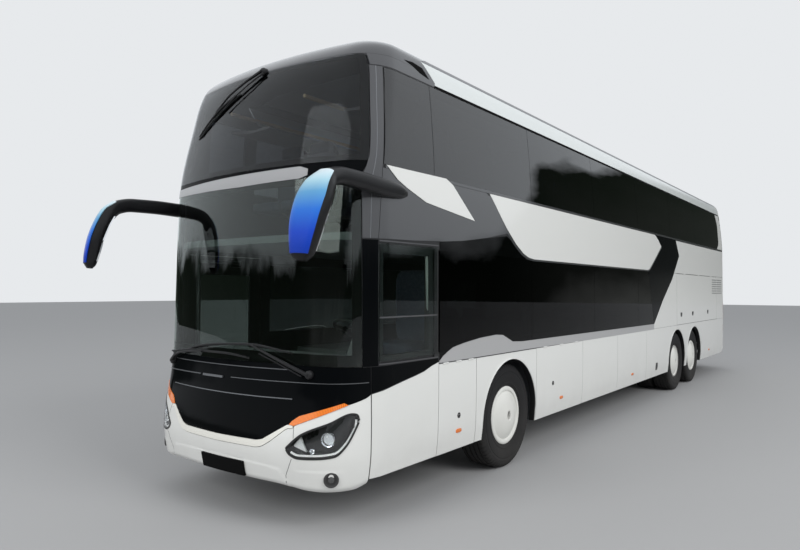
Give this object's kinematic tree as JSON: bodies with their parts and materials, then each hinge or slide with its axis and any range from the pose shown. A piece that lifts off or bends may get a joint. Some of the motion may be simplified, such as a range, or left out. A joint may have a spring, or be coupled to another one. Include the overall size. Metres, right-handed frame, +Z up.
{
  "type": "double-deck touring coach, three axles, left-hand drive",
  "caption": "White and black double-deck touring coach with two stacked windscreens, horn mirrors, three axles and lifting side flaps.",
  "frame": {"origin": "on the ground under the middle of the coach, mirrors included", "axes": "+X to the coach's left (driver's side), +Y towards its rear, +Z up"},
  "size_m": [3.05, 14.469, 3.9998],
  "materials": {
    "white_paint": "gloss",
    "charcoal_paint": "gloss",
    "black_gloss": "gloss",
    "silver_paint": "satin",
    "tinted_glass": "gloss",
    "lamp_lens": "gloss",
    "amber_lens": "gloss",
    "red_lens": "gloss",
    "frame_steel": "matte",
    "floor_board": "matte",
    "cast_metal": "matte",
    "wheel_steel": "satin",
    "tyre_rubber": "matte",
    "dark_plastic": "matte",
    "seat_fabric": "matte"
  },
  "bodies": {
    "coach": {"axles": "cast_metal", "band_front": "silver_paint", "bumper_front": "white_paint", "chassis_frame": "frame_steel", "dashboard": "dark_plastic", "deck_lower": "floor_board", "deck_upper": "floor_board", "engine": "cast_metal", "headlamps": "lamp_lens", "lamps_amber": "amber_lens", "lamps_rear": "red_lens", "mask_front": "black_gloss", "mirrors": "dark_plastic", "roof": "white_paint", "roof_cap": "charcoal_paint", "seats_lower": "seat_fabric", "seats_upper": "seat_fabric", "wall_left": "white_paint", "wall_rear": "white_paint", "wall_right": "white_paint", "window_rear": "tinted_glass", "windows_left": "tinted_glass", "windows_right": "tinted_glass", "windscreen_lower": "tinted_glass", "windscreen_upper": "tinted_glass", "wipers": "dark_plastic"},
    "knuckle_left": {"knuckle_left": "cast_metal"},
    "knuckle_right": {"knuckle_right": "cast_metal"},
    "wheel_front_left": {"tyre_front_left": "tyre_rubber", "rim_front_left": "wheel_steel"},
    "wheels_drive_left": {"tyres_drive_left": "tyre_rubber", "rims_drive_left": "wheel_steel"},
    "wheel_tag_left": {"tyre_tag_left": "tyre_rubber", "rim_tag_left": "wheel_steel"},
    "wheel_front_right": {"tyre_front_right": "tyre_rubber", "rim_front_right": "wheel_steel"},
    "wheels_drive_right": {"tyres_drive_right": "tyre_rubber", "rims_drive_right": "wheel_steel"},
    "wheel_tag_right": {"tyre_tag_right": "tyre_rubber", "rim_tag_right": "wheel_steel"},
    "steering_wheel": {"steering_wheel": "dark_plastic"},
    "front_door_arms": {"front_door_arms": "frame_steel"},
    "front_door": {"front_door": "white_paint", "front_door_glass": "tinted_glass"},
    "middle_door_arms": {"middle_door_arms": "frame_steel"},
    "middle_door": {"middle_door": "white_paint", "middle_door_glass": "tinted_glass"},
    "luggage_flap_left": {"luggage_flap_left": "white_paint"},
    "luggage_flap_right": {"luggage_flap_right": "white_paint"},
    "service_flap_front": {"service_flap_front": "white_paint"},
    "service_flap_middle": {"service_flap_middle": "white_paint"},
    "engine_hatch": {"engine_hatch": "white_paint"}
  },
  "joints": [
    {"name": "steer_left", "type": "hinge", "parent": "coach", "child": "knuckle_left", "pos_m": [0.9, -4.0245, 0.538], "axis": [0, 0, 1], "range_deg": [-42, 42]},
    {"name": "spin_front_left", "type": "hinge", "parent": "knuckle_left", "child": "wheel_front_left", "pos_m": [1.07, -4.0245, 0.538], "axis": [1, 0, 0], "continuous": true},
    {"name": "spin_drive_left", "type": "hinge", "parent": "coach", "child": "wheels_drive_left", "pos_m": [0.92, 2.6755, 0.538], "axis": [1, 0, 0], "continuous": true},
    {"name": "spin_tag_left", "type": "hinge", "parent": "coach", "child": "wheel_tag_left", "pos_m": [1.07, 4.0255, 0.538], "axis": [1, 0, 0], "continuous": true},
    {"name": "steer_right", "type": "hinge", "parent": "coach", "child": "knuckle_right", "pos_m": [-0.9, -4.0245, 0.538], "axis": [0, 0, 1], "range_deg": [-42, 42]},
    {"name": "spin_front_right", "type": "hinge", "parent": "knuckle_right", "child": "wheel_front_right", "pos_m": [-1.07, -4.0245, 0.538], "axis": [1, 0, 0], "continuous": true},
    {"name": "spin_drive_right", "type": "hinge", "parent": "coach", "child": "wheels_drive_right", "pos_m": [-0.92, 2.6755, 0.538], "axis": [1, 0, 0], "continuous": true},
    {"name": "spin_tag_right", "type": "hinge", "parent": "coach", "child": "wheel_tag_right", "pos_m": [-1.07, 4.0255, 0.538], "axis": [1, 0, 0], "continuous": true},
    {"name": "steering_turn", "type": "hinge", "parent": "coach", "child": "steering_wheel", "pos_m": [0.65, -5.7545, 1.48], "axis": [0, 0.4695, 0.8829], "range_deg": [-672, 672]},
    {"name": "front_door_swing", "type": "hinge", "parent": "coach", "child": "front_door_arms", "pos_m": [-1.14, -6.1545, 1.3], "axis": [0, 0, 1], "range_deg": [0, 140]},
    {"name": "front_door_turn", "type": "hinge", "parent": "front_door_arms", "child": "front_door", "pos_m": [-1.14, -5.6545, 1.3], "axis": [0, 0, 1], "range_deg": [-140, 0]},
    {"name": "middle_door_swing", "type": "hinge", "parent": "coach", "child": "middle_door_arms", "pos_m": [-1.14, -1.5645, 1.3], "axis": [0, 0, 1], "range_deg": [0, 140]},
    {"name": "middle_door_turn", "type": "hinge", "parent": "middle_door_arms", "child": "middle_door", "pos_m": [-1.14, -1.0645, 1.3], "axis": [0, 0, 1], "range_deg": [-140, 0]},
    {"name": "luggage_lift_left", "type": "hinge", "parent": "coach", "child": "luggage_flap_left", "pos_m": [1.275, 4.4505, 2.182], "axis": [0, -1, 0], "range_deg": [0, 85]},
    {"name": "luggage_lift_right", "type": "hinge", "parent": "coach", "child": "luggage_flap_right", "pos_m": [-1.275, 4.4505, 2.182], "axis": [0, 1, 0], "range_deg": [0, 85]},
    {"name": "service_lift_front", "type": "hinge", "parent": "coach", "child": "service_flap_front", "pos_m": [1.275, -5.0695, 1.197], "axis": [0, -1, 0], "range_deg": [0, 85]},
    {"name": "service_lift_middle", "type": "hinge", "parent": "coach", "child": "service_flap_middle", "pos_m": [1.275, -2.7245, 1.197], "axis": [0, -1, 0], "range_deg": [0, 85]},
    {"name": "hatch_lift", "type": "hinge", "parent": "coach", "child": "engine_hatch", "pos_m": [0, 7.2255, 1.497], "axis": [1, 0, 0], "range_deg": [0, 80]}
  ],
  "couplings": [
    {"joint": "steer_right", "follows": "steer_left", "ratio": 1},
    {"joint": "steering_turn", "follows": "steer_left", "ratio": 16},
    {"joint": "front_door_turn", "follows": "front_door_swing", "ratio": -1},
    {"joint": "middle_door_turn", "follows": "middle_door_swing", "ratio": -1}
  ]
}
